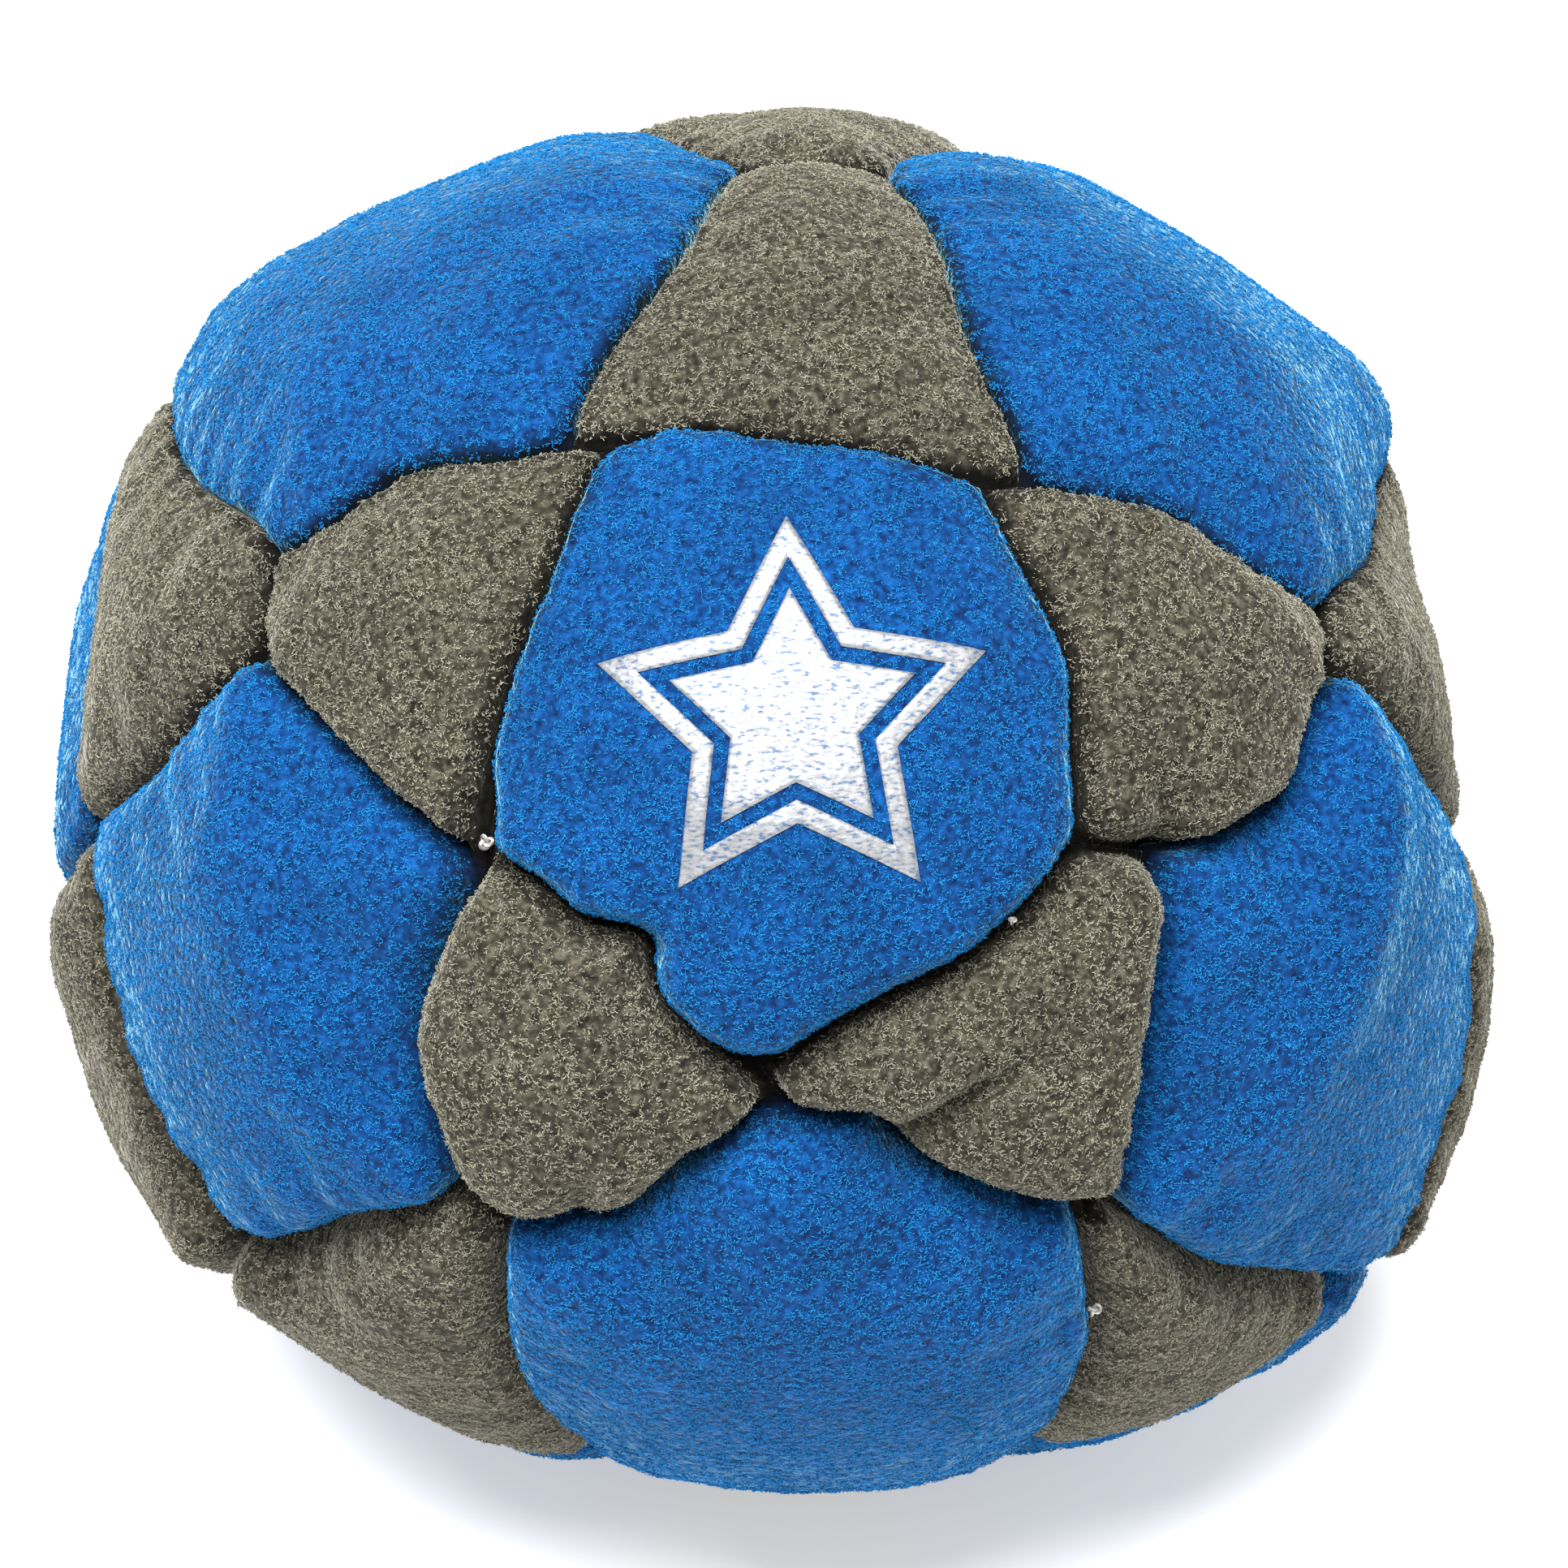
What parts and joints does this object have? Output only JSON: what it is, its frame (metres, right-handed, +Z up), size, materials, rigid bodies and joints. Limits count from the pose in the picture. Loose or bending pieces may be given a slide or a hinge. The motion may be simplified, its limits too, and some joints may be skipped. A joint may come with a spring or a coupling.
{
  "type": "footbag",
  "caption": "Soft hand-sewn juggling and kick bag of blue pentagon and grey panels with a foil star, sand filled, slumped flat where it rests.",
  "frame": {"origin": "middle of the flat side that the bag rests on", "axes": "+Z up, away from the resting side; the front panel with the foil star looks along -Y and up; +X to the right of it"},
  "size_m": [0.0558, 0.0576, 0.0544],
  "materials": {
    "blue_nap": "blue napped synthetic suede",
    "grey_nap": "taupe grey napped synthetic suede",
    "thread": "off-white waxed polyester thread",
    "sand": "fine dry sand",
    "foil": "heat-pressed silver foil, slightly crazed"
  },
  "bodies": {
    "root": {"blue_front": "blue_nap", "blue_below": "blue_nap", "blue_left": "blue_nap", "blue_upper_left": "blue_nap", "blue_upper_right": "blue_nap", "blue_right": "blue_nap", "blue_rear_low_left": "blue_nap", "blue_rear_left": "blue_nap", "blue_top": "blue_nap", "blue_rear_right": "blue_nap", "blue_rear_low_right": "blue_nap", "blue_underside": "blue_nap", "grey_front_1": "grey_nap", "grey_front_2": "grey_nap", "grey_front_3": "grey_nap", "grey_front_4": "grey_nap", "grey_front_5": "grey_nap", "grey_side_1": "grey_nap", "grey_side_2": "grey_nap", "grey_side_3": "grey_nap", "grey_side_4": "grey_nap", "grey_side_5": "grey_nap", "grey_rear_1": "grey_nap", "grey_rear_2": "grey_nap", "grey_rear_3": "grey_nap", "grey_rear_4": "grey_nap", "grey_rear_5": "grey_nap", "grey_under_1": "grey_nap", "grey_under_2": "grey_nap", "grey_under_3": "grey_nap", "grey_under_4": "grey_nap", "grey_under_5": "grey_nap", "seam_thread": "thread", "thread_knots": "thread", "sand_fill": "sand", "foil_star": "foil"}
  },
  "joints": []
}
